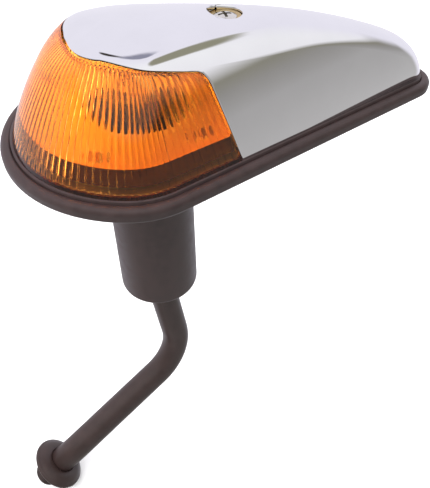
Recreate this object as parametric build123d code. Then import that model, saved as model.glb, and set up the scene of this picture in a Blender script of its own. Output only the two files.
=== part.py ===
from build123d import *
import math
import os

# Teardrop turn signal lamp for a motorcycle fender. Millimetres, +Z up.
# The origin is on the neck's axis, in the plane of the gasket's underside, which rests on the fender.
# The lens faces -X and the tail points to +X.

# ---- Outline of the lamp's rim, seen from above ----
RIM_NOSE = 46.2            # in front of the origin
RIM_WIDTH = 88.8
RIM_SHOULDER_R = 24.8
RIM_SHOULDER_X = -7.0
RIM_TAIL = 114.4           # behind the origin
RIM_TAIL_R = 7.8

# ---- Outline of its top, by how far it stands inside the rim's ----
NOSE_RAKE = 25.6
SIDE_RAKE = 23.4
TAIL_RAKE = 9.3
TOP_SHOULDER_R = 14.1
TOP_SHOULDER_X = -1.25
TOP_TAIL_R = 8.8

# Plan outlines: nose, width, shoulder radius, shoulder x, tail, tail radius.
RIM_OUTLINE = (RIM_NOSE, RIM_WIDTH, RIM_SHOULDER_R, RIM_SHOULDER_X, RIM_TAIL, RIM_TAIL_R)
TOP_OUTLINE = (
    RIM_NOSE - NOSE_RAKE,
    RIM_WIDTH - 2 * SIDE_RAKE,
    TOP_SHOULDER_R,
    TOP_SHOULDER_X,
    RIM_TAIL - TAIL_RAKE,
    TOP_TAIL_R,
)

# ---- Lamp body ----
RIM_Z = 5.7                # lower edge of lens and cover, on the gasket's ledge
TOP_Z = 41.2               # plane of the top outline, above the origin
TOP_SLOPE = 0.185          # how far that plane falls for each millimetre towards the tail
SIDE_BULGE = 1.85          # how far the sides swell halfway up
OVERSHOOT = 1.28           # the sides are carried this far past the top outline, then cut by the crown
CROWN_Z = 42.3             # level ridge of the crown above the origin
CROWN_TURN_X = 8.8         # behind this the ridge falls away
CROWN_FALL = 21.3          # how far it has fallen at the top outline's tail
CROSS_FLAT = 0.0147        # curvature across the crown near the nose, 1/mm
CROSS_SHARP = 0.044        # and near the tail
CROSS_START_X = -5.0       # where the curvature starts to grow
CROSS_SPAN = 60.0          # and how long it takes
CROWN_KNEE = 40.0          # the crown's arc ends here and goes on as its tangent
STATION_STEP = 20          # between the crown block's cross sections
BLOCK_MARGIN = 15.6        # what the crown block has beyond the rim's outline
BLOCK_FOOT_Z = -90.0
COVER_WALL = 1.6
LENS_WALL = 2.2
LIP_WALL = 1.5             # the lens's edge that is tucked inside the cover
LIP_REACH = 3.5
LIP_ROOT = 2.5
LIP_GAP = 0.25
JOINT_GAP = 0.15

# ---- The line where the lens meets the cover, seen from the side ----
LENS_TOP_Z = 39.3
LENS_TOP_TURN_X = -14.0
LENS_CORNER_X = 17.2
LENS_CORNER_Z = 32.3
LENS_REAR_X = 27.6         # rear edge at the height of the gasket's underside
LENS_TURN_RADIUS = 30.0
LENS_CORNER_RADIUS = 3.0
ZONE_FOOT = 10.0           # the cutting block's depth below the gasket's underside
ZONE_NOSE = 24.0           # and its length ahead of the rim

# ---- Gasket ----
GASKET_GROWTH = 4.7
BEAD_TOP_Z = 5.0
LEDGE_GROWTH = 0.8
GASKET_OPENING = 12.0      # width of the gasket's rubber inside the rim
OPENING_TAIL = 32.0        # its length inside the tail
OPENING_TAIL_R = 3.0
BEAD_TOP_ROUND = 2.2
BEAD_FOOT_ROUND = 1.4

# ---- Bayonet bulb, 15 mm cap ----
CAP_R = 7.45
CAP_WALL = 0.4
CAP_TOP_Z = 1.5
CAP_FOOT_Z = -14.5
PIN_Z = -7.8
PIN_R = 0.95
PUSH_TRAVEL = 1.5
TURN_ANGLE = 20.0
GLASS_R = 12.7
GLASS_CENTRE_Z = 23.3
GLASS_NECK_R = CAP_R - 0.65
GLASS_NECK_Z = -4.0
GLASS_WALL = 0.6
GLASS_BLEND_R = 12.0
VITRITE = 0.9
TIP_R = 2.2
TIP = 0.8
FILAMENT_Z = GLASS_CENTRE_Z + 0.7
FILAMENT_SPAN = 5.0
FILAMENT_R = 0.4
SUPPORT_R = 0.35
STEM_TOP_Z = 13.0
STEM_R = 3.2
STEM_TIP_R = 1.9
PINCH_WIDTH = 2.4          # the flat glass pinch that holds the supports
PINCH_HEIGHT = 2.0
PINCH_MARGIN = 0.8

# ---- Bayonet socket ----
SOCKET_INNER_R = CAP_R + 0.25
SOCKET_OUTER_R = SOCKET_INNER_R + 0.6
SOCKET_FLANGE_R = SOCKET_OUTER_R + 2.9
SOCKET_FLANGE = 1.0
SOCKET_TOP_Z = 0.0
SOCKET_FOOT_Z = -26.0
SOCKET_LIP_R = SOCKET_INNER_R - 2.2
SOCKET_LIP = 0.8
SOCKET_RIVET_R = 0.7
SOCKET_RIVET_HEAD_R = 1.1
SOCKET_RIVET_HEAD = 0.4
PIN_REACH = SOCKET_OUTER_R + 0.3
SLOT_GAP = 0.35
PLUNGER_GAP = 0.4
CARRIER = 1.8
CONTACT_R = 2.6
CONTACT = 0.6
SPRING_WIRE_R = 0.45
SPRING_GAP = 1.65          # between the spring's outside and the socket's wall
SPRING_TURNS = 3.0
INSULATOR = 2.0
TERMINAL_RIVET_R = 1.2
TERMINAL_HEAD_R = 2.0
TERMINAL_HEAD = 0.6
BLADE_WIDTH = 6.3
BLADE_THICKNESS = 0.8
BLADE_LENGTH = 8.0

# ---- Base plate ----
PLATE_INSET = 3.2
PLATE_Z = 3.2
PLATE_THICKNESS = 2.0
PLATE_GAP = 0.3
SPIGOT_LEDGE_R = SOCKET_OUTER_R + 0.7
SPIGOT_INNER_R = SOCKET_FLANGE_R + 0.4
SPIGOT_OUTER_R = SPIGOT_INNER_R + 1.4
SPIGOT_DEPTH = 3.2
SPIGOT_LEDGE = 2.2
POST_X = 31.0
POST_R = 5.5
POST_TOP_Z = 29.5
POST_BORE_DEPTH = 15.0
BITE = 0.5                 # how far joined stock runs into its neighbour

# ---- Fixing inserts, M6 tapping size ----
INSERT_XS = (-27.0, 60.0)
INSERT_R = 4.2
INSERT_BORE_R = 2.5
INSERT_FOOT_Z = 0.4
INSERT_LENGTH = 6.0
INSERT_BOSS_R = 6.0

# ---- Cover screw and its cup washer ----
SCREW_R = 1.95
SCREW_BORE_R = SCREW_R + 0.25
SCREW_HEAD_R = 4.1
SCREW_HEAD_CONE = 2.1
SCREW_HEAD_DOME = 0.9
SCREW_LENGTH = 20.0
WASHER_R = 5.8
WASHER_THICKNESS = 2.2
RECESS_R = WASHER_R + 0.3
RECESS_FLOOR_Z = 36.9
COVER_BOSS_R = RECESS_R + 1.5
CROSS_WIDTH = 1.0
CROSS_LENGTH = 4.6
CROSS_DEPTH = 1.7
SEAT_GAP = 0.1

# ---- Reflector ----
REFLECTOR_GAP = 0.45
REFLECTOR_FLOOR_Z = PLATE_Z + PLATE_THICKNESS + 2.1
REFLECTOR_SHEET = 0.8
REFLECTOR_RIM = 5.0
REFLECTOR_INSET = COVER_WALL + LIP_GAP + LIP_WALL + REFLECTOR_GAP
REFLECTOR_HOLE_R = GLASS_R + 0.9
REFLECTOR_BACK_X = 23.4
REFLECTOR_BACK_Z = 27.5
RIVET_SPOTS = ((-20.0, 22.0), (16.0, 20.0))
RIVET_R = 1.5
RIVET_HEAD_R = 2.8
RIVET_HEAD = 0.8
PAD_R = 4.0

# ---- Neck boot ----
BOOT_TOP_R = SPIGOT_OUTER_R + 4.0
BOOT_FOOT_R = BOOT_TOP_R + 0.6
BOOT_FOOT_Z = -81.2
BOOT_FLANGE_R = BOOT_TOP_R + 2.5
BOOT_FLANGE_FOOT_Z = 0.8
BOOT_FLOOR = 5.0
BOOT_EDGE_ROUND = 2.5

# ---- Hose ----
HOSE_R = 6.7
HOSE_BORE_R = 4.5
HOSE_COLLAR_R = HOSE_R + 1.9
HOSE_COLLAR = 2.0
# Corners of the centre line, with heights from the boot's foot, and the bend radius at each.
HOSE_CORNERS = ((0.0, 0.0, -4.8), (6.2, -6.0, -55.8), (-60.6, -27.6, -88.3))
HOSE_BENDS = (40.0, 26.0, 28.0)
HOSE_END = (-69.5, -28.0, -96.3)

# ---- Panel grommet, along its axis from the face that the hose enters ----
PANEL_HOLE_R = HOSE_R + 0.9
PANEL_GROOVE = 2.0
GROMMET_R = PANEL_HOLE_R + 6.4
GROMMET_DOME = 2.5
GROMMET_COLLAR = 1.2
GROMMET_SHOULDER = 3.0
GROMMET_EDGE = 0.8
GROMMET_FOOT = 3.0
GROMMET_CHAMFER = 2.4
GROMMET_SOCKET = 2.0
BARB = 1.0
BARB_TAPER = 0.4
BARB_LENGTH = 1.6
STUB_R = HOSE_BORE_R + 1.5
STUB_LENGTH = 12.5
STUB_TIP = 1.5

os.makedirs("parts", exist_ok=True)


def save(shape, node):
    export_step(shape, f"parts/{node}.step")


def disc(radius, low, high, x=0.0, y=0.0):
    """An upright cylinder between two heights."""
    return Pos(x, y, (low + high) / 2) * Cylinder(radius, high - low)


def turned(points):
    """A solid of revolution about Z from (radius, height) points."""
    return revolve(Plane.XZ * make_face(Polyline(*points, close=True)), Axis.Z)


def grown(outline, by):
    """The outline moved outwards by a distance."""
    nose, width, shoulder_r, shoulder_x, tail, tail_r = outline
    return (nose + by, width + 2 * by, shoulder_r + by, shoulder_x, tail + by, tail_r + by)


def mixed(low, high, share):
    """The outline a share of the way from one to another."""
    return tuple(a + (b - a) * share for a, b in zip(low, high))


def outline_face(outline):
    """A face bounded by nose arc, shoulder arcs, straight sides and tail arc, all tangent."""
    nose, width, shoulder_r, shoulder_x, tail, tail_r = outline
    half = width / 2 - shoulder_r
    reach = -nose - shoulder_x
    nose_r = (shoulder_r**2 - reach**2 - half**2) / (2 * (reach + shoulder_r))
    nose_x = nose_r - nose
    tail_x = tail - tail_r
    gap = math.hypot(tail_x - shoulder_x, half)
    side = math.atan2(half, tail_x - shoulder_x) - math.acos((shoulder_r - tail_r) / gap)
    start = math.atan2(-half, shoulder_x - nose_x)

    def shoulder(angle):
        return (shoulder_x + shoulder_r * math.cos(angle), -half + shoulder_r * math.sin(angle))

    first, middle, last = (shoulder(a) for a in (start, (start + side) / 2, side))
    heel = (tail_x + tail_r * math.cos(side), tail_r * math.sin(side))
    edges = [
        ThreePointArc((first[0], -first[1]), (-nose, 0), first),
        ThreePointArc(first, middle, last),
        Line(last, heel),
        ThreePointArc(heel, (tail, 0), (heel[0], -heel[1])),
        Line((heel[0], -heel[1]), (last[0], -last[1])),
        ThreePointArc((last[0], -last[1]), (middle[0], -middle[1]), (first[0], -first[1])),
    ]
    return make_face(edges)


def ring_slab(outline, low, high):
    """The outline extruded upright between two heights."""
    return Pos(0, 0, low) * extrude(outline_face(outline), high - low)


def side_section(share, inset):
    """The lamp's outline part way up its sides; share 0 is the rim, 1 the top outline."""
    swell = SIDE_BULGE * 4 * share * (1 - share)
    outline = grown(mixed(RIM_OUTLINE, TOP_OUTLINE, share), swell - inset)
    slope = TOP_SLOPE * share
    height = RIM_Z + (TOP_Z - RIM_Z) * share
    tilt = math.degrees(math.atan(slope))
    return Pos(0, 0, height) * Rot(0, tilt, 0) * outline_face(outline)


def crown_section(x, drop):
    """One cross section of the crown block: an arc over sloping and upright walls."""
    curve = CROWN_FALL / (RIM_TAIL - TAIL_RAKE - CROWN_TURN_X) ** 2
    ridge = CROWN_Z - curve * max(x - CROWN_TURN_X, 0.0) ** 2 - drop
    share = min(max((x - CROSS_START_X) / CROSS_SPAN, 0.0), 1.0)
    blend = share * share * (3 - 2 * share)
    radius = 1 / (CROSS_FLAT + (CROSS_SHARP - CROSS_FLAT) * blend) - drop
    knee = min(0.8 * radius, CROWN_KNEE)
    level = math.sqrt(radius**2 - knee**2)
    edge = ridge - radius + level
    side = RIM_WIDTH / 2 + BLOCK_MARGIN
    low = edge - (side - knee) * knee / level
    arc = ThreePointArc((-knee, edge), (0, ridge), (knee, edge))
    corners = ((side, low), (side, BLOCK_FOOT_Z))
    mirrored = tuple((-across, up) for across, up in reversed(corners))
    walls = Polyline((knee, edge), *corners, *mirrored, (-knee, edge))
    return Plane.YZ.offset(x) * make_face([arc, *walls.edges()])


def body_block(inset):
    """The solid inside the lamp's outer skin moved inwards by the inset."""
    sides = loft([side_section(share, inset) for share in (0.0, OVERSHOOT / 2, OVERSHOOT)])
    first = -3 * STATION_STEP
    stations = range(first, round(RIM_TAIL) + 2 * STATION_STEP, STATION_STEP)
    crown = loft([crown_section(x, inset) for x in stations])
    return sides & crown


def lens_zone(growth):
    """Everything that is in front of the joint line, seen from the side."""
    slope = (LENS_REAR_X - LENS_CORNER_X) / LENS_CORNER_Z
    front = -RIM_NOSE - ZONE_NOSE
    corners = [
        (front, LENS_TOP_Z + growth),
        (LENS_TOP_TURN_X, LENS_TOP_Z + growth),
        (LENS_CORNER_X + growth, LENS_CORNER_Z + growth),
        (LENS_REAR_X + slope * ZONE_FOOT + growth, -ZONE_FOOT),
    ]
    line = FilletPolyline(*corners, radius=[LENS_TURN_RADIUS, LENS_CORNER_RADIUS])
    closing = Polyline(corners[-1], (front, -ZONE_FOOT), corners[0])
    face = Plane.XZ * make_face([*line.edges(), *closing.edges()])
    return extrude(face, RIM_WIDTH, both=True)


def build_lens():
    """The lens: a shell in front of the joint line, with an edge tucked inside the cover."""
    skin = body_block(0.0) - body_block(LENS_WALL)
    lip = body_block(COVER_WALL + LIP_GAP) - body_block(COVER_WALL + LIP_GAP + LIP_WALL)
    lip = (lip & lens_zone(LIP_REACH)) - lens_zone(-LIP_ROOT)
    save((skin & lens_zone(-JOINT_GAP)) + lip, "lens")


def build_cover():
    """The cover: a shell behind the joint line, with a boss that stands on the base's post."""
    shell = body_block(0.0) - body_block(COVER_WALL) - lens_zone(JOINT_GAP)
    boss = disc(COVER_BOSS_R, POST_TOP_Z, CROWN_Z, POST_X) & body_block(0.0)
    cover = shell + boss
    cover -= disc(RECESS_R, RECESS_FLOOR_Z, CROWN_Z + 5, POST_X)
    cover -= disc(SCREW_BORE_R, POST_TOP_Z - 1, CROWN_Z, POST_X)
    save(cover, "chrome_cover")


def build_cover_screw():
    """A raised countersunk screw in a brass cup washer."""
    cone_foot = RECESS_FLOOR_Z + WASHER_THICKNESS - SCREW_HEAD_CONE
    cone_top = RECESS_FLOOR_Z + WASHER_THICKNESS
    cup = disc(WASHER_R, RECESS_FLOOR_Z, cone_top)
    cup -= turned([
        (0, RECESS_FLOOR_Z - 1),
        (SCREW_BORE_R, RECESS_FLOOR_Z - 1),
        (SCREW_BORE_R, cone_foot),
        (SCREW_HEAD_R + SEAT_GAP, cone_top),
        (0, cone_top),
    ])
    save(Pos(POST_X, 0, 0) * cup, "cup_washer")
    dome_r = (SCREW_HEAD_R**2 + SCREW_HEAD_DOME**2) / (2 * SCREW_HEAD_DOME)
    dome = Pos(0, 0, cone_top + SCREW_HEAD_DOME - dome_r) * Sphere(dome_r)
    dome &= disc(SCREW_HEAD_R, cone_top, cone_top + SCREW_HEAD_DOME)
    screw = turned([
        (0, cone_top - SCREW_LENGTH),
        (SCREW_R, cone_top - SCREW_LENGTH),
        (SCREW_R, cone_foot),
        (SCREW_HEAD_R, cone_top),
        (0, cone_top),
    ])
    screw += dome
    for turn in (0, 90):
        cross = Box(CROSS_LENGTH, CROSS_WIDTH, 2 * CROSS_DEPTH)
        screw -= Pos(0, 0, cone_top + SCREW_HEAD_DOME) * Rot(0, 0, turn) * cross
    save(Pos(POST_X, 0, 0) * screw, "cover_screw")


def build_gasket():
    """The rubber gasket: a rounded bead outside, a ledge for lens and cover, a recess for the plate."""
    bead = ring_slab(grown(RIM_OUTLINE, GASKET_GROWTH), 0, BEAD_TOP_Z)
    bead = fillet(bead.edges().group_by(Axis.Z)[-1], BEAD_TOP_ROUND)
    bead = fillet(bead.edges().group_by(Axis.Z)[0], BEAD_FOOT_ROUND)
    gasket = bead + ring_slab(grown(RIM_OUTLINE, LEDGE_GROWTH), BEAD_TOP_Z - 1, RIM_Z)
    nose, width, shoulder_r, shoulder_x, tail, _ = RIM_OUTLINE
    opening = (
        nose - GASKET_OPENING,
        width - 2 * GASKET_OPENING,
        shoulder_r - GASKET_OPENING,
        shoulder_x,
        tail - OPENING_TAIL,
        OPENING_TAIL_R,
    )
    gasket -= ring_slab(opening, -1, RIM_Z + 1)
    gasket -= ring_slab(grown(RIM_OUTLINE, PLATE_GAP - PLATE_INSET), PLATE_Z, RIM_Z + 1)
    save(gasket, "base_gasket")


def socket_rivet_xs():
    """The two rivets stand midway between the spigot's ledge and the socket flange's edge."""
    middle = (SPIGOT_LEDGE_R + SOCKET_FLANGE_R) / 2
    return (-middle, middle)


def build_base_plate():
    """The base plate with its bulb spigot, screw post, reflector pads and insert bosses."""
    plate_top = PLATE_Z + PLATE_THICKNESS
    plate = ring_slab(grown(RIM_OUTLINE, -PLATE_INSET), PLATE_Z, plate_top)
    plate += disc(SPIGOT_OUTER_R, -SPIGOT_DEPTH, PLATE_Z + BITE)
    plate -= disc(SPIGOT_INNER_R, SPIGOT_LEDGE - SPIGOT_DEPTH, plate_top + 1)
    plate -= disc(SPIGOT_LEDGE_R, -SPIGOT_DEPTH - 1, plate_top)
    plate += disc(POST_R, plate_top - BITE, POST_TOP_Z, POST_X)
    plate -= disc(SCREW_BORE_R, POST_TOP_Z - POST_BORE_DEPTH, POST_TOP_Z + 1, POST_X)
    for x, y in RIVET_SPOTS:
        for side in (-1, 1):
            plate += disc(PAD_R, plate_top - BITE, REFLECTOR_FLOOR_Z, x, side * y)
            plate -= disc(RIVET_R, PLATE_Z - 1, REFLECTOR_FLOOR_Z + 1, x, side * y)
    for x in INSERT_XS:
        plate += disc(INSERT_BOSS_R, INSERT_FOOT_Z, INSERT_FOOT_Z + INSERT_LENGTH, x)
        plate -= disc(INSERT_R, INSERT_FOOT_Z - 1, INSERT_FOOT_Z + INSERT_LENGTH + 1, x)
    for x in socket_rivet_xs():
        plate -= disc(SOCKET_RIVET_R, -SPIGOT_DEPTH - 1, 1, x)
    save(plate, "base_plate")
    inserts = [
        disc(INSERT_R, INSERT_FOOT_Z, INSERT_FOOT_Z + INSERT_LENGTH, x)
        - disc(INSERT_BORE_R, INSERT_FOOT_Z - 1, INSERT_FOOT_Z + INSERT_LENGTH + 1, x)
        for x in INSERT_XS
    ]
    save(Compound(children=inserts), "thread_inserts")


def build_reflector():
    """The pressed reflector: a floor with the bulb hole, a low rim in front and a tall back."""
    rim_top = REFLECTOR_FLOOR_Z + REFLECTOR_RIM
    floor_top = REFLECTOR_FLOOR_Z + REFLECTOR_SHEET
    tray = body_block(REFLECTOR_INSET) & ring_slab(RIM_OUTLINE, REFLECTOR_FLOOR_Z, rim_top)
    hollow = body_block(REFLECTOR_INSET + REFLECTOR_SHEET)
    hollow &= ring_slab(RIM_OUTLINE, floor_top, rim_top + 1)
    stock = Box(2 * RIM_TAIL, 2 * RIM_WIDTH, 2 * RIM_TAIL)
    behind = Pos(REFLECTOR_BACK_X + RIM_TAIL, 0, 0) * stock
    tray = tray - hollow - behind
    sheet = Box(REFLECTOR_SHEET, 2 * RIM_WIDTH, 2 * TOP_Z)
    back = body_block(REFLECTOR_INSET + REFLECTOR_SHEET)
    back &= Pos(REFLECTOR_BACK_X - REFLECTOR_SHEET / 2, 0, 0) * sheet
    back &= ring_slab(RIM_OUTLINE, REFLECTOR_FLOOR_Z, REFLECTOR_BACK_Z)
    reflector = tray + back
    reflector -= disc(REFLECTOR_HOLE_R, REFLECTOR_FLOOR_Z - 1, floor_top + 1)
    rivets = []
    foot = PLATE_Z - RIVET_HEAD
    for x, y in RIVET_SPOTS:
        for side in (-1, 1):
            reflector -= disc(RIVET_R, REFLECTOR_FLOOR_Z - 1, floor_top + 1, x, side * y)
            rivet = disc(RIVET_R, foot, floor_top, x, side * y)
            rivet += disc(RIVET_HEAD_R, foot, PLATE_Z, x, side * y)
            rivet += disc(RIVET_HEAD_R, floor_top, floor_top + RIVET_HEAD, x, side * y)
            rivets.append(rivet)
    save(reflector, "reflector")
    save(Compound(children=rivets), "reflector_rivets")


def pin_slot():
    """One bayonet slot: a way in from the top, and a window the pin turns in."""
    half = math.degrees(math.asin((PIN_R + SLOT_GAP) / SOCKET_INNER_R))
    low = PIN_Z - PUSH_TRAVEL - PIN_R - SLOT_GAP
    high = PIN_Z + PIN_R + SLOT_GAP
    reach = 2 * SOCKET_OUTER_R

    def sector(first, last, foot, top):
        points = [(0, 0)]
        points += [
            (reach * math.cos(math.radians(a)), reach * math.sin(math.radians(a)))
            for a in (first, (first + last) / 2, last)
        ]
        return Pos(0, 0, foot) * extrude(make_face(Polyline(*points, close=True)), top - foot)

    window = sector(90 - half, 90 + TURN_ANGLE + half, low, high)
    way_in = sector(90 + TURN_ANGLE - half, 90 + TURN_ANGLE + half, low, SOCKET_TOP_Z + 1)
    return window + way_in


def build_socket():
    """The bayonet socket: shell, rivets, insulator and the terminal below it."""
    shell = disc(SOCKET_OUTER_R, SOCKET_FOOT_Z, SOCKET_TOP_Z)
    shell += disc(SOCKET_FLANGE_R, SOCKET_TOP_Z - SOCKET_FLANGE, SOCKET_TOP_Z)
    shell -= disc(SOCKET_INNER_R, SOCKET_FOOT_Z + SOCKET_LIP, SOCKET_TOP_Z + 1)
    shell -= disc(SOCKET_LIP_R, SOCKET_FOOT_Z - 1, SOCKET_TOP_Z)
    for turn in (0, 180):
        shell -= Rot(0, 0, turn) * pin_slot()
    rivets = []
    for x in socket_rivet_xs():
        shell -= disc(SOCKET_RIVET_R, SOCKET_TOP_Z - SOCKET_FLANGE - 1, SOCKET_TOP_Z + 1, x)
        rivet = disc(SOCKET_RIVET_R, -SPIGOT_DEPTH, SOCKET_TOP_Z, x)
        rivet += disc(SOCKET_RIVET_HEAD_R, SOCKET_TOP_Z, SOCKET_TOP_Z + SOCKET_RIVET_HEAD, x)
        rivets.append(rivet)
    save(shell, "bulb_socket")
    save(Compound(children=rivets), "socket_rivets")
    foot = SOCKET_FOOT_Z + SOCKET_LIP
    insulator = disc(SOCKET_INNER_R, foot, foot + INSULATOR)
    insulator -= disc(TERMINAL_RIVET_R, foot - 1, foot + INSULATOR + 1)
    save(insulator, "socket_insulator")
    blade_top = foot - BLADE_THICKNESS
    tab = disc(BLADE_WIDTH / 2, blade_top, foot) - disc(TERMINAL_RIVET_R, blade_top - 1, foot + 1)
    blade_x = BLADE_WIDTH / 2 - BLADE_THICKNESS
    blade = Pos(blade_x + BLADE_THICKNESS / 2, 0, blade_top - BLADE_LENGTH / 2 + BLADE_THICKNESS)
    tab += blade * Box(BLADE_THICKNESS, BLADE_WIDTH, BLADE_LENGTH)
    save(tab, "feed_terminal")
    rivet = disc(TERMINAL_RIVET_R, blade_top, foot + INSULATOR)
    rivet += disc(TERMINAL_HEAD_R, blade_top - TERMINAL_HEAD, blade_top)
    save(rivet, "terminal_rivet")


def build_plunger():
    """The sprung contact under the bulb, and its spring."""
    tip_foot = CAP_FOOT_Z - VITRITE - TIP
    contact_foot = tip_foot - CONTACT
    carrier_foot = contact_foot - CARRIER
    save(disc(CONTACT_R, contact_foot, tip_foot), "centre_contact")
    save(disc(SOCKET_INNER_R - PLUNGER_GAP, carrier_foot, contact_foot), "contact_carrier")
    coil_top = carrier_foot - SPRING_WIRE_R
    coil_foot = SOCKET_FOOT_Z + SOCKET_LIP + INSULATOR + SPRING_WIRE_R
    coil_r = SOCKET_INNER_R - SPRING_GAP - SPRING_WIRE_R
    path = Helix((coil_top - coil_foot) / SPRING_TURNS, coil_top - coil_foot, coil_r)
    section = Plane(origin=path @ 0, z_dir=path % 0) * Circle(SPRING_WIRE_R)
    save(Pos(0, 0, coil_foot) * sweep(section, path=path), "contact_spring")


def build_bulb():
    """A single-filament bayonet bulb, standing on its cap."""
    bore_r = CAP_R - CAP_WALL
    cap = disc(CAP_R, CAP_FOOT_Z, CAP_TOP_Z) - disc(bore_r, CAP_FOOT_Z - 1, CAP_TOP_Z + 1)
    pins = []
    for side in (-1, 1):
        place = Pos(0, side * (bore_r + PIN_REACH) / 2, PIN_Z) * Rot(90, 0, 0)
        pins.append(place * Cylinder(PIN_R, PIN_REACH - bore_r))
    for pin in pins:
        cap -= pin
    save(cap, "bulb_cap")
    save(Compound(children=pins), "bulb_pins")
    tip_top = CAP_FOOT_Z - VITRITE
    save(disc(CAP_R, tip_top, CAP_FOOT_Z), "bulb_insulator")
    save(disc(TIP_R, tip_top - TIP, tip_top), "bulb_contact")
    save(glass_envelope(0) - glass_envelope(GLASS_WALL), "bulb_glass")
    shoulder = STEM_TOP_Z - STEM_R
    pinch = Box(PINCH_WIDTH, FILAMENT_SPAN + 2 * PINCH_MARGIN, PINCH_HEIGHT)
    stem = disc(STEM_R, GLASS_NECK_Z, shoulder) + disc(STEM_TIP_R, shoulder, STEM_TOP_Z)
    stem += Pos(0, 0, shoulder - PINCH_HEIGHT / 2) * pinch
    save(stem, "bulb_stem")
    half = FILAMENT_SPAN / 2
    supports = [disc(SUPPORT_R, shoulder, FILAMENT_Z, 0, y) - stem for y in (-half, half)]
    save(Compound(children=supports), "filament_supports")
    coil = Cylinder(FILAMENT_R, FILAMENT_SPAN + 2 * SUPPORT_R)
    save(Pos(0, 0, FILAMENT_Z + FILAMENT_R) * Rot(90, 0, 0) * coil, "filament")


def glass_envelope(inset):
    """A ball that runs down into a straight neck through a hollow curve."""
    ball_r = GLASS_R - inset
    neck_r = GLASS_NECK_R - inset
    blend_r = GLASS_BLEND_R + inset
    across = neck_r + blend_r
    drop = math.sqrt((ball_r + blend_r) ** 2 - across**2)
    blend_z = GLASS_CENTRE_Z - drop
    share = ball_r / (ball_r + blend_r)
    meet = (across * share, GLASS_CENTRE_Z - drop * share)
    angle = math.atan2(meet[1] - blend_z, meet[0] - across)
    halfway = (angle + math.pi) / 2
    hollow = (across + blend_r * math.cos(halfway), blend_z + blend_r * math.sin(halfway))
    outline = [
        Line((0, GLASS_NECK_Z), (neck_r, GLASS_NECK_Z)),
        Line((neck_r, GLASS_NECK_Z), (neck_r, blend_z)),
        ThreePointArc((neck_r, blend_z), hollow, meet),
        ThreePointArc(meet, (ball_r, GLASS_CENTRE_Z), (0, GLASS_CENTRE_Z + ball_r)),
        Line((0, GLASS_CENTRE_Z + ball_r), (0, GLASS_NECK_Z)),
    ]
    return revolve(Plane.XZ * make_face(outline), Axis.Z)


def build_neck():
    """The rubber boot that hangs from the spigot."""
    outer = turned([
        (0, BOOT_FOOT_Z),
        (BOOT_FOOT_R, BOOT_FOOT_Z),
        (BOOT_TOP_R, BOOT_FLANGE_FOOT_Z),
        (BOOT_FLANGE_R, BOOT_FLANGE_FOOT_Z),
        (BOOT_FLANGE_R, PLATE_Z),
        (0, PLATE_Z),
    ])
    outer = fillet(outer.edges().group_by(Axis.Z)[0], BOOT_EDGE_ROUND)
    boot = outer - disc(SPIGOT_OUTER_R, BOOT_FOOT_Z + BOOT_FLOOR, PLATE_Z + 1)
    boot -= disc(HOSE_R, BOOT_FOOT_Z - 1, BOOT_FOOT_Z + BOOT_FLOOR + 1)
    save(boot, "neck_boot")


def below_boot(point):
    """A point given with its height from the boot's foot."""
    return Vector(point[0], point[1], point[2] + BOOT_FOOT_Z)


def build_hose():
    """The moulded rubber hose from the boot to the grommet, and the grommet at its end."""
    floor_top = BOOT_FOOT_Z + BOOT_FLOOR
    collar_top = floor_top + HOSE_COLLAR
    corners = [below_boot(point) for point in HOSE_CORNERS]
    grommet = below_boot(HOSE_END)
    axis = (grommet - corners[-1]).normalized()
    end = grommet + axis * GROMMET_SOCKET
    path = FilletPolyline(Vector(0, 0, collar_top), *corners, end, radius=list(HOSE_BENDS))
    seat = Plane(origin=path @ 0, z_dir=path % 0)
    hose = sweep(seat * Circle(HOSE_R), path=path) - sweep(seat * Circle(HOSE_BORE_R), path=path)
    hose += disc(HOSE_COLLAR_R, floor_top, collar_top) - disc(HOSE_BORE_R, floor_top - 1, collar_top + 1)
    save(hose, "wire_hose")
    lip = GROMMET_FOOT + PANEL_GROOVE
    profile = turned([
        (HOSE_BORE_R, GROMMET_SOCKET),
        (HOSE_R, GROMMET_SOCKET),
        (HOSE_R, -GROMMET_DOME),
        (HOSE_R + GROMMET_COLLAR, -GROMMET_DOME),
        (GROMMET_R - GROMMET_SHOULDER, -0.6 * GROMMET_DOME),
        (GROMMET_R - GROMMET_EDGE, -0.1 * GROMMET_DOME),
        (GROMMET_R, GROMMET_EDGE),
        (GROMMET_R - GROMMET_EDGE, GROMMET_FOOT - GROMMET_EDGE),
        (GROMMET_R - GROMMET_CHAMFER, GROMMET_FOOT),
        (PANEL_HOLE_R, GROMMET_FOOT),
        (PANEL_HOLE_R, lip),
        (PANEL_HOLE_R + BARB, lip),
        (PANEL_HOLE_R + BARB - BARB_TAPER, lip + BARB_LENGTH),
        (STUB_R + BARB_TAPER, STUB_LENGTH - STUB_TIP),
        (STUB_R, STUB_LENGTH),
        (HOSE_BORE_R, STUB_LENGTH),
    ])
    save(Plane(origin=grommet, z_dir=axis) * profile, "panel_grommet")


build_lens()
build_cover()
build_cover_screw()
build_gasket()
build_base_plate()
build_reflector()
build_socket()
build_plunger()
build_bulb()
build_neck()
build_hose()
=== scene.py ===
import logging
import math
from collections.abc import Callable
from dataclasses import dataclass, field
from enum import Enum

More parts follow.
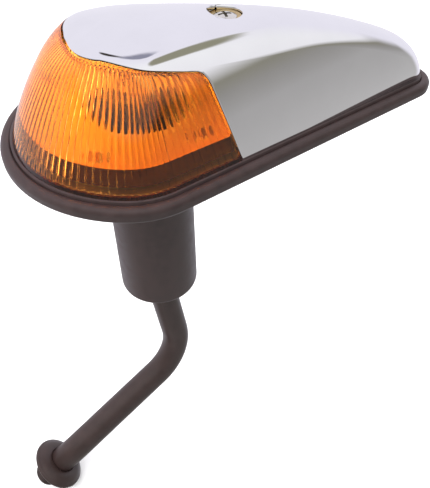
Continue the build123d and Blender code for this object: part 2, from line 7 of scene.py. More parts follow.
import bmesh
import bpy
import numpy as np
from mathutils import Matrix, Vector


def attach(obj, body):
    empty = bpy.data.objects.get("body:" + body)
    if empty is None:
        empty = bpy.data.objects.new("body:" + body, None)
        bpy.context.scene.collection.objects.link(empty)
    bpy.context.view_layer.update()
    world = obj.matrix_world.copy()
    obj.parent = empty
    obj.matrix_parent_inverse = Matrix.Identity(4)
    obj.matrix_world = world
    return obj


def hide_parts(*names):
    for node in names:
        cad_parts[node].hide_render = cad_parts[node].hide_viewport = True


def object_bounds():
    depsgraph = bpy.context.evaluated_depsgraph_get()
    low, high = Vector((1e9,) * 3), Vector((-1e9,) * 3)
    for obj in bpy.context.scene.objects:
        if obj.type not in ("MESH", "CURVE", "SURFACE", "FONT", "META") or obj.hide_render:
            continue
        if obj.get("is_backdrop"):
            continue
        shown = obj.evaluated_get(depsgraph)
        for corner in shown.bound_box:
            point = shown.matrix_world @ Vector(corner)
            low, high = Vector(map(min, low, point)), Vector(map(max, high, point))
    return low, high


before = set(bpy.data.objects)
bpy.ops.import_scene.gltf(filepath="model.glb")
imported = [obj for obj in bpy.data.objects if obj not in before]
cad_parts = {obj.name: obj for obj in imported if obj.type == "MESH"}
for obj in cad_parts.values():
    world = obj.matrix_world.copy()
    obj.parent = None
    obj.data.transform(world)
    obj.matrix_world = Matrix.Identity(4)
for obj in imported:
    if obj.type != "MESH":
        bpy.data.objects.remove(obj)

log = logging.getLogger("turn_signal")
logging.basicConfig(level=logging.INFO, format="%(message)s")

MM = 0.001
Colour = tuple[float, float, float]
Point = tuple[float, float, float]
HALVINGS = 30


class Slot(Enum):
    """The record's material slots for the chrome, the amber lens and the black rubber."""

    CHROME = "chrome"
    AMBER = "amber_lens"
    RUBBER = "black_rubber"


class Body(Enum):
    """The moving bodies that new pieces ride on."""

    BASE = "base"
    LENS = "lens"
    COVER = "cover"


# ---------------------------------------------------------------- mesh helpers


def make_piece(name: str, points: np.ndarray, faces: np.ndarray) -> bpy.types.Object:
    """Puts points and quads into a smooth mesh object, with doubles merged and faces outwards.

    Args:
        name: the piece's name.
        points: (n, 3) places in millimetres, in the row frame.
        faces: (m, 4) indices into points.

    Returns:
        The new object, at the origin.
    """
    mesh = bpy.data.meshes.new(name)
    mesh.from_pydata((points * MM).tolist(), [], faces.tolist())
    work = bmesh.new()
    work.from_mesh(mesh)
    bmesh.ops.remove_doubles(work, verts=work.verts, dist=2e-6)
    bmesh.ops.dissolve_degenerate(work, edges=work.edges, dist=1e-7)
    bmesh.ops.recalc_face_normals(work, faces=work.faces)
    work.to_mesh(mesh)
    work.free()
    mesh.shade_smooth()
    piece = bpy.data.objects.new(name, mesh)
    bpy.context.scene.collection.objects.link(piece)
    return piece


def grid_faces(rows: int, columns: int, wrap: bool = False, first: int = 0) -> np.ndarray:
    """Quads of a grid whose points are stored row by row.

    Args:
        rows: how many rows of points.
        columns: how many points in a row.
        wrap: whether the last column joins the first.
        first: the index of the grid's first point.

    Returns:
        (m, 4) indices.
    """
    index = first + np.arange(rows * columns).reshape(rows, columns)
    if wrap:
        index = np.hstack([index, index[:, :1]])
    corners = (index[:-1, :-1], index[:-1, 1:], index[1:, 1:], index[1:, :-1])
    return np.stack([c.ravel() for c in corners], axis=1)


def shell(outer: np.ndarray, inner: np.ndarray) -> tuple[np.ndarray, np.ndarray]:
    """A closed wall between two grids of the same size, with its four edges filled.

    Args:
        outer: (rows, columns, 3) points of the outer skin.
        inner: the same of the inner skin.

    Returns:
        The points and the quads.
    """
    rows, columns, _ = outer.shape
    size = rows * columns
    index = np.arange(size).reshape(rows, columns)
    border = np.concatenate([index[0, :], index[1:, -1], index[-1, -2::-1], index[-2:0:-1, 0]])
    after = np.roll(border, -1)
    rim = np.stack([border, after, after + size, border + size], axis=1)
    skins = [grid_faces(rows, columns), grid_faces(rows, columns, first=size)[:, ::-1], rim]
    return np.concatenate([outer.reshape(-1, 3), inner.reshape(-1, 3)]), np.concatenate(skins)


def turned(profile: np.ndarray, sides: int = 96) -> tuple[np.ndarray, np.ndarray]:
    """A closed profile of (radius, height) carried round Z: x = r cos a, y = r sin a.

    Args:
        profile: (n, 2) closed outline, without a repeated last point.
        sides: how many places round the circle.

    Returns:
        The points and the quads.
    """
    angle = np.linspace(0, 2 * math.pi, sides, endpoint=False)
    loop = np.vstack([profile, profile[:1]])
    radius = loop[:, :1]
    height = np.broadcast_to(loop[:, 1:], (len(loop), sides))
    points = np.stack([radius * np.cos(angle), radius * np.sin(angle), height], axis=-1)
    return points.reshape(-1, 3), grid_faces(len(loop), sides, wrap=True)


def arc(centre: tuple[float, float], radius: float, start: float, end: float, count: int = 9) -> np.ndarray:
    """Points on an arc in the plane: centre + radius (cos a, sin a), with a in degrees."""
    angle = np.radians(np.linspace(start, end, count))
    return np.stack([centre[0] + radius * np.cos(angle), centre[1] + radius * np.sin(angle)], axis=1)


def unit(vectors: np.ndarray) -> np.ndarray:
    """Each vector divided by its own length."""
    return vectors / np.linalg.norm(vectors, axis=-1, keepdims=True)


def smooth(value: np.ndarray) -> np.ndarray:
    """The smooth step v v (3 - 2 v) of a value held between 0 and 1."""
    held = np.clip(value, 0, 1)
    return held * held * (3 - 2 * held)


def halve(past: Callable[[np.ndarray], np.ndarray], low: np.ndarray, high: np.ndarray) -> np.ndarray:
    """Halves the interval from low to high round the place where past turns true.

    Args:
        past: tells for each value whether it lies beyond the place.
        low: values before it.
        high: values beyond it.

    Returns:
        The places.
    """
    for _ in range(HALVINGS):
        middle = (low + high) / 2
        beyond = past(middle)
        high = np.where(beyond, middle, high)
        low = np.where(beyond, low, middle)
    return (low + high) / 2


# ---------------------------------------------------------------- finishes


def blank(name: str) -> tuple[bpy.types.Material, bpy.types.Node]:
    """A new material with its nodes on, and its Principled shader."""
    made = bpy.data.materials.new(name)
    made.use_nodes = True
    return made, made.node_tree.nodes["Principled BSDF"]


@dataclass(frozen=True)
class Finish:
    """A node material with fine noise in its colour, its roughness and its surface."""

    name: str
    colour: Colour
    metallic: float = 0.0
    roughness: float = 0.5
    mottle: float = 0.05
    mottle_scale: float = 400.0
    bump: float = 0.02
    bump_scale: float = 1500.0
    stretch: Point = (1.0, 1.0, 1.0)
    specular: float = 0.5
    coat: float = 0.0
    sheen: float = 0.0

    def material(self) -> bpy.types.Material:
        """Builds the material: noise on Object coordinates drives colour, roughness and bump.

        Returns:
            The new material.
        """
        made, shader = blank(self.name)
        nodes = made.node_tree.nodes
        links = made.node_tree.links
        shader.inputs["Metallic"].default_value = self.metallic
        shader.inputs["Specular IOR Level"].default_value = self.specular
        shader.inputs["Coat Weight"].default_value = self.coat
        shader.inputs["Sheen Weight"].default_value = self.sheen
        place = nodes.new("ShaderNodeTexCoord")
        turn = nodes.new("ShaderNodeMapping")
        turn.inputs["Scale"].default_value = self.stretch
        links.new(place.outputs["Object"], turn.inputs["Vector"])
        broad = self._noise(made, turn, self.mottle_scale)
        ramp = nodes.new("ShaderNodeValToRGB")
        darker = tuple(c * (1 - self.mottle) for c in self.colour)
        lighter = tuple(min(c * (1 + self.mottle), 1.0) for c in self.colour)
        ramp.color_ramp.elements[0].position = 0.3
        ramp.color_ramp.elements[0].color = (*darker, 1)
        ramp.color_ramp.elements[1].position = 0.7
        ramp.color_ramp.elements[1].color = (*lighter, 1)
        links.new(broad.outputs["Fac"], ramp.inputs["Fac"])
        links.new(ramp.outputs["Color"], shader.inputs["Base Color"])
        spread = nodes.new("ShaderNodeMapRange")
        spread.inputs["To Min"].default_value = self.roughness * (1 - 2 * self.mottle)
        spread.inputs["To Max"].default_value = min(self.roughness * (1 + 2 * self.mottle), 1.0)
        links.new(broad.outputs["Fac"], spread.inputs["Value"])
        links.new(spread.outputs["Result"], shader.inputs["Roughness"])
        fine = self._noise(made, turn, self.bump_scale)
        relief = nodes.new("ShaderNodeBump")
        relief.inputs["Strength"].default_value = self.bump
        relief.inputs["Distance"].default_value = 0.1 * MM
        links.new(fine.outputs["Fac"], relief.inputs["Height"])
        links.new(relief.outputs["Normal"], shader.inputs["Normal"])
        return made

    @staticmethod
    def _noise(made: bpy.types.Material, turn: bpy.types.Node, scale: float) -> bpy.types.Node:
        """A noise node of that scale, in cells per metre, read through the mapping."""
        noise = made.node_tree.nodes.new("ShaderNodeTexNoise")
        noise.inputs["Scale"].default_value = scale
        noise.inputs["Detail"].default_value = 4
        made.node_tree.links.new(turn.outputs["Vector"], noise.inputs["Vector"])
        return noise


@dataclass(frozen=True)
class ClearFinish:
    """Clear glass or plastic that lets lamps shine through it in its own tint."""

    name: str
    colour: Colour
    through: Colour
    ior: float = 1.49
    roughness: float = 0.02
    bump: float = 0.0
    bump_scale: float = 300.0
    depth_colour: Colour | None = None
    density: float = 0.0

    def material(self) -> bpy.types.Material:
        """Builds the material: transmission for sight, and a tinted Transparent for lamp rays.

        Returns:
            The new material.
        """
        made, shader = blank(self.name)
        nodes = made.node_tree.nodes
        links = made.node_tree.links
        shader.inputs["Base Color"].default_value = (*self.colour, 1)
        shader.inputs["Roughness"].default_value = self.roughness
        shader.inputs["IOR"].default_value = self.ior
        shader.inputs["Transmission Weight"].default_value = 1.0
        if self.bump:
            place = nodes.new("ShaderNodeTexCoord")
            noise = nodes.new("ShaderNodeTexNoise")
            noise.inputs["Scale"].default_value = self.bump_scale
            relief = nodes.new("ShaderNodeBump")
            relief.inputs["Strength"].default_value = self.bump
            relief.inputs["Distance"].default_value = 0.2 * MM
            links.new(place.outputs["Object"], noise.inputs["Vector"])
            links.new(noise.outputs["Fac"], relief.inputs["Height"])
            links.new(relief.outputs["Normal"], shader.inputs["Normal"])
        clear = nodes.new("ShaderNodeBsdfTransparent")
        clear.inputs["Color"].default_value = (*self.through, 1)
        ray = nodes.new("ShaderNodeLightPath")
        choice = nodes.new("ShaderNodeMixShader")
        links.new(ray.outputs["Is Shadow Ray"], choice.inputs["Fac"])
        links.new(shader.outputs["BSDF"], choice.inputs[1])
        links.new(clear.outputs["BSDF"], choice.inputs[2])
        links.new(choice.outputs["Shader"], nodes["Material Output"].inputs["Surface"])
        if self.depth_colour is not None:
            depth = nodes.new("ShaderNodeVolumeAbsorption")
            depth.inputs["Color"].default_value = (*self.depth_colour, 1)
            depth.inputs["Density"].default_value = self.density
            links.new(depth.outputs["Volume"], nodes["Material Output"].inputs["Volume"])
        return made


@dataclass(frozen=True)
class PressedFinish:
    """Silver lacquer on the faces that look at the bulb, and dark primer on those that look away."""

    name: str
    lacquer: Colour = (0.80, 0.78, 0.74)
    primer: Colour = (0.040, 0.022, 0.014)
    roughness: float = 0.24

    def material(self) -> bpy.types.Material:
        """Builds the material: the sign of normal times place, in plan, tells the two faces apart.

        Returns:
            The new material.
        """
        made = Finish(self.name, self.lacquer, 0.6, self.roughness, 0.05, 200, 0.05, 900).material()
        nodes = made.node_tree.nodes
        links = made.node_tree.links
        shader = nodes["Principled BSDF"]
        lacquer = shader.inputs["Base Color"].links[0].from_socket
        shape = nodes.new("ShaderNodeNewGeometry")
        plan = nodes.new("ShaderNodeVectorMath")
        plan.operation = "MULTIPLY"
        plan.inputs[1].default_value = (1, 1, 0)
        links.new(shape.outputs["Position"], plan.inputs[0])
        facing = nodes.new("ShaderNodeVectorMath")
        facing.operation = "DOT_PRODUCT"
        links.new(plan.outputs["Vector"], facing.inputs[0])
        links.new(shape.outputs["True Normal"], facing.inputs[1])
        away = nodes.new("ShaderNodeMath")
        away.operation = "GREATER_THAN"
        away.inputs[1].default_value = 2 * MM
        links.new(facing.outputs["Value"], away.inputs[0])
        mix = nodes.new("ShaderNodeMix")
        mix.data_type = "RGBA"
        mix.inputs["B"].default_value = (*self.primer, 1)
        links.new(away.outputs["Value"], mix.inputs["Factor"])
        links.new(lacquer, mix.inputs["A"])
        links.new(mix.outputs["Result"], shader.inputs["Base Color"])
        return made


CHROME = Finish("chrome_plate", (0.86, 0.86, 0.89), 1.0, 0.045, 0.02, 60, 0.012, 220)
AMBER = ClearFinish(
    "amber_acrylic",
    (1.0, 0.60, 0.13),
    (1.0, 0.52, 0.08),
    ior=1.49,
    roughness=0.015,
    bump=0.10,
    bump_scale=160,
    depth_colour=(1.0, 0.45, 0.04),
    density=100,
)
RUBBER = Finish("moulded_rubber", (0.031, 0.0185, 0.0180), 0.0, 0.42, 0.18, 260, 0.30, 2600, specular=0.45)
HOSE_RUBBER = Finish("hose_rubber", (0.029, 0.0175, 0.0160), 0.0, 0.38, 0.14, 180, 0.20, 2200, specular=0.45)

INSIDE_FINISHES = {
    "cup_washer": Finish("turned_brass", (0.62, 0.46, 0.22), 1.0, 0.22, 0.08, 500, 0.05, 3000),
    "thread_inserts": Finish("insert_brass", (0.60, 0.44, 0.20), 1.0, 0.28, 0.08, 500, 0.05, 3000),
    "centre_contact": Finish("contact_brass", (0.62, 0.47, 0.24), 1.0, 0.25, 0.06, 500, 0.04, 3000),
    "feed_terminal": Finish("terminal_brass", (0.60, 0.46, 0.24), 1.0, 0.30, 0.08, 400, 0.05, 2600),
    "terminal_rivet": Finish("rivet_brass", (0.58, 0.44, 0.22), 1.0, 0.30, 0.08, 400, 0.05, 2600),
    "bulb_cap": Finish("cap_brass", (0.62, 0.50, 0.27), 1.0, 0.24, 0.06, 400, 0.04, 2400),
    "bulb_pins": Finish("pin_brass", (0.60, 0.48, 0.26), 1.0, 0.26, 0.06, 400, 0.04, 2400),
    "cover_screw": Finish("nickel_plate", (0.74, 0.72, 0.68), 1.0, 0.16, 0.05, 500, 0.04, 3000),
    "reflector": PressedFinish("silver_lacquer"),
    "reflector_rivets": Finish("rivet_steel", (0.66, 0.66, 0.66), 1.0, 0.25, 0.06, 500, 0.04, 2600),
    "base_plate": Finish("zinc_plate", (0.60, 0.61, 0.62), 1.0, 0.38, 0.10, 150, 0.10, 1600, (1, 6, 1)),
    "bulb_socket": Finish("socket_zinc", (0.62, 0.63, 0.63), 1.0, 0.34, 0.08, 200, 0.08, 1600, (1, 1, 5)),
    "socket_rivets": Finish("small_rivet_steel", (0.66, 0.66, 0.66), 1.0, 0.26, 0.06, 500, 0.04, 2600),
    "contact_spring": Finish("spring_wire", (0.48, 0.48, 0.50), 1.0, 0.28, 0.06, 600, 0.05, 3000),
    "filament_supports": Finish("support_wire", (0.50, 0.50, 0.50), 1.0, 0.30, 0.06, 600, 0.05, 3000),
    "filament": Finish("tungsten_coil", (0.22, 0.22, 0.23), 1.0, 0.40, 0.10, 900, 0.60, 9000),
    "bulb_contact": Finish("solder_blob", (0.58, 0.58, 0.60), 1.0, 0.36, 0.10, 600, 0.20, 1800),
    "contact_carrier": Finish("carrier_board", (0.22, 0.11, 0.05), 0.0, 0.55, 0.20, 300, 0.20, 1800),
    "socket_insulator": Finish("phenolic_board", (0.24, 0.12, 0.06), 0.0, 0.55, 0.20, 300, 0.20, 1800),
    "bulb_insulator": Finish("black_glass", (0.012, 0.012, 0.014), 0.0, 0.12, 0.10, 300, 0.03, 900, coat=0.4),
    "bulb_glass": ClearFinish("blown_glass", (0.98, 0.98, 0.97), (0.96, 0.96, 0.95), 1.5, 0.0, 0.03, 120),
    "bulb_stem": ClearFinish("stem_glass", (0.92, 0.94, 0.92), (0.9, 0.92, 0.9), 1.5, 0.03, 0.05, 200),
}


def dress(piece: bpy.types.Object, material: bpy.types.Material) -> None:
    """Gives every face of a piece one material."""
    piece.data.materials.clear()
    piece.data.materials.append(material)
    piece.data.polygons.foreach_set("material_index", np.zeros(len(piece.data.polygons), dtype=np.int32))


# ---------------------------------------------------------------- the lamp's skin


@dataclass
class Outline:
    """A plan outline of tangent arcs: nose, shoulders, straight flanks and tail, in millimetres."""

    nose: float
    width: float
    shoulder_r: float
    shoulder_x: float
    tail: float
    tail_r: float

    def sizes(self) -> np.ndarray:
        """The six sizes as one array."""
        return np.array([self.nose, self.width, self.shoulder_r, self.shoulder_x, self.tail, self.tail_r])


NOSE_SHARE = 0.29
SHOULDER_SHARE = 0.38
FLANK_SHARE = 0.93


def outline_points(sizes: np.ndarray, u: np.ndarray) -> tuple[np.ndarray, np.ndarray]:
    """Plan points of outlines whose sizes may differ from point to point.

    The nose arc runs about a centre on the long axis, and the shoulder arc touches it from inside.
    A straight flank joins the shoulder arc to the tail arc and touches both. The sign of u is the
    side: u is 0 at the nose's tip, and 1 or -1 at the tail's tip on the -Y or +Y side.

    Args:
        sizes: (6, ...) nose, width, shoulder radius, shoulder x, tail, tail radius.
        u: where on the outline, from -1 to 1.

    Returns:
        The x and y of each point.
    """
    nose, width, shoulder_r, shoulder_x, tail, tail_r = sizes
    along = np.abs(u)
    half = width / 2 - shoulder_r
    reach = -nose - shoulder_x
    nose_r = (shoulder_r**2 - reach**2 - half**2) / (2 * (reach + shoulder_r))
    nose_x = nose_r - nose
    tail_x = tail - tail_r
    gap = np.hypot(tail_x - shoulder_x, half)
    side = np.arctan2(half, tail_x - shoulder_x) - np.arccos((shoulder_r - tail_r) / gap)
    start = np.arctan2(-half, shoulder_x - nose_x)

    def part(low: float, high: float) -> np.ndarray:
        """How far u is through one stretch, from 0 to 1."""
        return np.clip((along - low) / (high - low), 0, 1)

    nose_angle = -math.pi + (start + math.pi) * part(0, NOSE_SHARE)
    turn_angle = start + (side - start) * part(NOSE_SHARE, SHOULDER_SHARE)
    flank = part(SHOULDER_SHARE, FLANK_SHARE)
    tail_angle = side * (1 - part(FLANK_SHARE, 1.0))
    last_x = shoulder_x + shoulder_r * np.cos(side)
    last_y = -half + shoulder_r * np.sin(side)
    heel_x = tail_x + tail_r * np.cos(side)
    heel_y = tail_r * np.sin(side)
    stretches = [along <= NOSE_SHARE, along <= SHOULDER_SHARE, along <= FLANK_SHARE]
    x = np.select(
        stretches,
        [
            nose_x + nose_r * np.cos(nose_angle),
            shoulder_x + shoulder_r * np.cos(turn_angle),
            last_x + (heel_x - last_x) * flank,
        ],
        tail_x + tail_r * np.cos(tail_angle),
    )
    y = np.select(
        stretches,
        [
            nose_r * np.sin(nose_angle),
            -half + shoulder_r * np.sin(turn_angle),
            last_y + (heel_y - last_y) * flank,
        ],
        tail_r * np.sin(tail_angle),
    )
    return x, y * np.where(u < 0, -1.0, 1.0)


@dataclass
class Skin:
    """The outer skin of lens and cover together, as one surface of two parameters.

    u runs round the plan outline. s runs from the rim, 0, up the side to the start of the rounded
    crease, 1, over it to the crown, 2, and across the crown to the ridge line, 3.
    """

    rim: Outline = field(default_factory=lambda: Outline(46.2, 88.8, 24.8, -7.0, 114.4, 7.8))
    top: Outline = field(default_factory=lambda: Outline(20.6, 42.0, 14.1, -1.25, 105.1, 8.8))
    rim_z: float = 5.7
    top_z: float = 41.2
    slope: float = 0.185
    bulge: float = 1.85
    overshoot: float = 1.28
    ridge_z: float = 42.3
    ridge_turn: float = 8.8
    ridge_curve: float = 0.0023
    flat: float = 0.0147
    sharp: float = 0.044
    sharpen_x: float = -5.0
    sharpen_span: float = 60.0
    knee: float = 40.0
    crease: float = 4.6
    nose_crease: float = 13.7
    nose_share: float = 0.18
    nose_start: float = 0.02
    tail_crease: float = 2.5
    tail_start: float = 0.85
    ridge_front: float = -12.0
    ridge_back: float = 98.0
    ridge_margin: float = 6.0

    def side(self, u: np.ndarray, t: np.ndarray) -> np.ndarray:
        """The side: the outline mixed from rim to top by t, swelled by a parabola and tilted with t."""
        rim = self.rim.sizes().reshape(6, *([1] * np.ndim(u)))
        top = self.top.sizes().reshape(6, *([1] * np.ndim(u)))
        sizes = rim + (top - rim) * t
        swell = self.bulge * 4 * t * (1 - t)
        gains = np.array([1, 2, 1, 0, 1, 1]).reshape(6, *([1] * np.ndim(u)))
        x, y = outline_points(sizes + gains * swell, u)
        tilt = np.arctan(self.slope * t)
        height = self.rim_z + (self.top_z - self.rim_z) * t
        return np.stack([x * np.cos(tilt), y, height - x * np.sin(tilt)], axis=-1)

    def crown(self, x: np.ndarray, y: np.ndarray) -> np.ndarray:
        """The crown's height: a falling ridge less an arc across it, and the arc's tangent past the knee."""
        ridge = self.ridge_z - self.ridge_curve * np.maximum(x - self.ridge_turn, 0) ** 2
        radius = 1 / (self.flat + (self.sharp - self.flat) * smooth((x - self.sharpen_x) / self.sharpen_span))
        knee = np.minimum(0.8 * radius, self.knee)
        across = np.minimum(np.abs(y), knee)
        level = np.sqrt(radius**2 - knee**2)
        arch = ridge - radius + np.sqrt(radius**2 - across**2)
        return arch - np.maximum(np.abs(y) - knee, 0) * knee / level

    def meeting(self, u: np.ndarray) -> np.ndarray:
        """The t at which the side meets the crown."""

        def above(t: np.ndarray) -> np.ndarray:
            """Whether the side has risen past the crown at t."""
            at = self.side(u, t)
            return at[..., 2] > self.crown(at[..., 0], at[..., 1])

        return halve(above, np.zeros_like(u), np.full_like(u, self.overshoot))

    def point(self, u: np.ndarray, s: np.ndarray) -> np.ndarray:
        """Points of the skin: side, then a parabola through the crease, then the crown.

        Args:
            u: where round the outline.
            s: how far up and over, from 0 to 3.

        Returns:
            (..., 3) places in millimetres.
        """
        meet = self.meeting(u)
        corner = self.side(u, meet)
        below = self.side(u, meet - 0.01)
        rate = np.linalg.norm(corner - below, axis=-1) / 0.01
        along = np.abs(u)
        fore = 1 - smooth((along - self.nose_start) / self.nose_share)
        aft = smooth((along - self.tail_start) / (1 - self.tail_start))
        reach = self.crease + (self.nose_crease - self.crease) * fore + self.tail_crease * aft
        start = meet - reach / rate
        length = self.top.nose + self.top.tail + 2 * self.ridge_margin
        share = (corner[..., 0] + self.top.nose + self.ridge_margin) / length
        ridge_x = self.ridge_front + (self.ridge_back - self.ridge_front) * share
        inwards = np.stack([ridge_x - corner[..., 0], -corner[..., 1]], axis=-1)
        plan = corner[..., :2] + unit(inwards) * reach[..., None]
        landing = np.concatenate([plan, self.crown(plan[..., 0], plan[..., 1])[..., None]], axis=-1)
        side = self.side(u, start * np.clip(s, 0, 1))
        over = np.clip(s - 1, 0, 1)[..., None]
        foot = self.side(u, start)
        turn = foot * (1 - over) ** 2 + corner * 2 * over * (1 - over) + landing * over**2
        within = np.clip(s - 2, 0, 1)
        flat_x = plan[..., 0] + (ridge_x - plan[..., 0]) * within
        flat_y = plan[..., 1] * (1 - within)
        top = np.stack([flat_x, flat_y, self.crown(flat_x, flat_y)], axis=-1)
        chosen = np.where((s <= 1)[..., None], side, turn)
        return np.where((s >= 2)[..., None], top, chosen)


@dataclass
class JointLine:
    """Where the lens meets the cover, seen from the side: a level top, a slope and a steep rear edge."""

    top_z: float = 39.3
    turn_x: float = -14.0
    corner_x: float = 17.2
    corner_z: float = 32.3
    rear_x: float = 27.6
    corner_r: float = 3.0
    corner_dip: float = 0.3
    softness: float = 4.0
    gap: float = 0.2

    def top_at(self, x: np.ndarray, away: float) -> np.ndarray:
        """The height of the top line at x, moved out by a distance, with a soft turn at its front."""
        fall = (self.top_z - self.corner_z) / (self.corner_x - self.turn_x)
        past = x - self.turn_x
        soft = (past + np.sqrt(past**2 + self.softness**2) - self.softness) / 2
        drop = fall * np.maximum(soft, 0)
        into = np.clip((x - (self.corner_x - self.corner_r)) / self.corner_r, 0, 1)
        return self.top_z - drop - self.corner_dip * self.corner_r * into**2 + away

    def rear_at(self, z: np.ndarray, away: float) -> np.ndarray:
        """The x of the rear edge at a height, moved out by a distance."""
        lean = (self.rear_x - self.corner_x) / self.corner_z
        into = np.clip((z - (self.corner_z - self.corner_r)) / self.corner_r, 0, 1.3)
        return self.rear_x - lean * z - self.corner_dip * self.corner_r * into**2 + away


@dataclass
class Seam:
    """The joint line found on the skin, moved out by a distance, as curves in (u, s)."""

    skin: Skin
    line: JointLine
    away: float
    corner_u: float = 0.0
    corner_s: float = 0.0

    def __post_init__(self) -> None:
        """Finds the corner by taking turns: u for the rear edge at s, then s for the top line at u."""
        s = np.array([0.9])
        u = np.array([0.5])
        for _ in range(12):
            u = self.rear_u(s)
            s = self.top_s(u)
        self.corner_u = float(u[0])
        self.corner_s = float(s[0])

    def rear_u(self, s: np.ndarray) -> np.ndarray:
        """The u of the rear edge at each s."""

        def behind(u: np.ndarray) -> np.ndarray:
            """Whether the skin at u lies behind the rear edge."""
            at = self.skin.point(u, s)
            return at[..., 0] > self.line.rear_at(at[..., 2], self.away)

        return halve(behind, np.full_like(s, SHOULDER_SHARE - 0.08), np.full_like(s, 0.8))

    def top_s(self, u: np.ndarray) -> np.ndarray:
        """The s of the top line at each u."""

        def above(s: np.ndarray) -> np.ndarray:
            """Whether the skin at s lies above the top line."""
            at = self.skin.point(u, s)
            return at[..., 2] > self.line.top_at(at[..., 0], self.away)

        return halve(above, np.zeros_like(u), np.full_like(u, 2.0))


# ---------------------------------------------------------------- sub-assemblies


def normals_of(grid: np.ndarray) -> np.ndarray:
    """Unit normals of a grid of points, as the cross product of its two rates of change."""
    return unit(np.cross(np.gradient(grid, axis=1), np.gradient(grid, axis=0)))


@dataclass
class Lens:
    """The amber lens: a smooth outer skin, and upright flutes moulded inside."""

    skin: Skin
    line: JointLine
    wall: float = 2.2
    flutes: int = 74
    flute_depth: float = 0.30
    roof_gap: float = 2.0
    roof_wall: float = 1.4
    roof_columns: int = 121
    roof_rows: int = 40
    roof_top_s: float = 2.98
    columns: int = 593
    rows: int = 44

    def outer(self) -> np.ndarray:
        """The outer skin, swept from one rear edge round the nose to the other."""
        seam = Seam(self.skin, self.line, -self.line.gap)
        q = np.linspace(-1, 1, self.columns)
        p = np.linspace(0, 1, self.rows)
        rear = seam.rear_u(p * seam.corner_s)
        top = seam.top_s(np.abs(q) * seam.corner_u)
        return self.skin.point(q[None, :] * rear[:, None], p[:, None] * top[None, :])

    def build(self) -> list[bpy.types.Object]:
        """Builds the closed wall: the inner skin lies a wall and a scallop inside the outer one.

        Returns:
            The lens and its roof.
        """
        outer = self.outer()
        normal = normals_of(outer)
        middle = outer[self.rows // 2, self.columns // 2]
        inside = np.array([20.0, 0, 15])
        outwards = np.sign(np.dot(normal[self.rows // 2, self.columns // 2], middle - inside))
        q = np.linspace(-1, 1, self.columns)
        scallop = np.abs(np.sin(np.pi * self.flutes * (q + 1) / 2))
        fade = smooth((1 - np.linspace(0, 1, self.rows)) / 0.04) * smooth(np.linspace(0, 1, self.rows) / 0.03)
        depth = self.wall - self.flute_depth * (1 - scallop)[None, :] * fade[:, None]
        inner = outer - normal * outwards * depth[..., None]
        inner[0, :, 2] = self.skin.rim_z
        points, faces = shell(outer, inner)
        piece = make_piece("amber_lens", points, faces)
        piece.data.set_sharp_from_angle(angle=math.radians(50))
        amber = AMBER.material()
        pieces = [piece, self.roof()]
        for part in pieces:
            dress(part, amber)
            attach(part, Body.LENS.value)
            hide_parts("lens")
        return pieces

    def roof(self) -> bpy.types.Object:
        """The lens's flat roof, which lies hidden under the cover."""
        seam = Seam(self.skin, self.line, self.line.gap)
        u = np.linspace(-seam.corner_u, seam.corner_u, self.roof_columns)
        low = np.minimum(seam.top_s(u) + 0.06, 1.95)
        s = low + (self.roof_top_s - low) * np.linspace(0, 1, self.roof_rows)[:, None]
        outer = self.skin.point(np.broadcast_to(u, s.shape), s)
        normal = normals_of(outer)
        normal *= np.sign(normal[self.roof_rows // 2, self.roof_columns // 2, 2])
        upper = outer - normal * self.roof_gap
        return make_piece("lens_roof", *shell(upper, upper - normal * self.roof_wall))


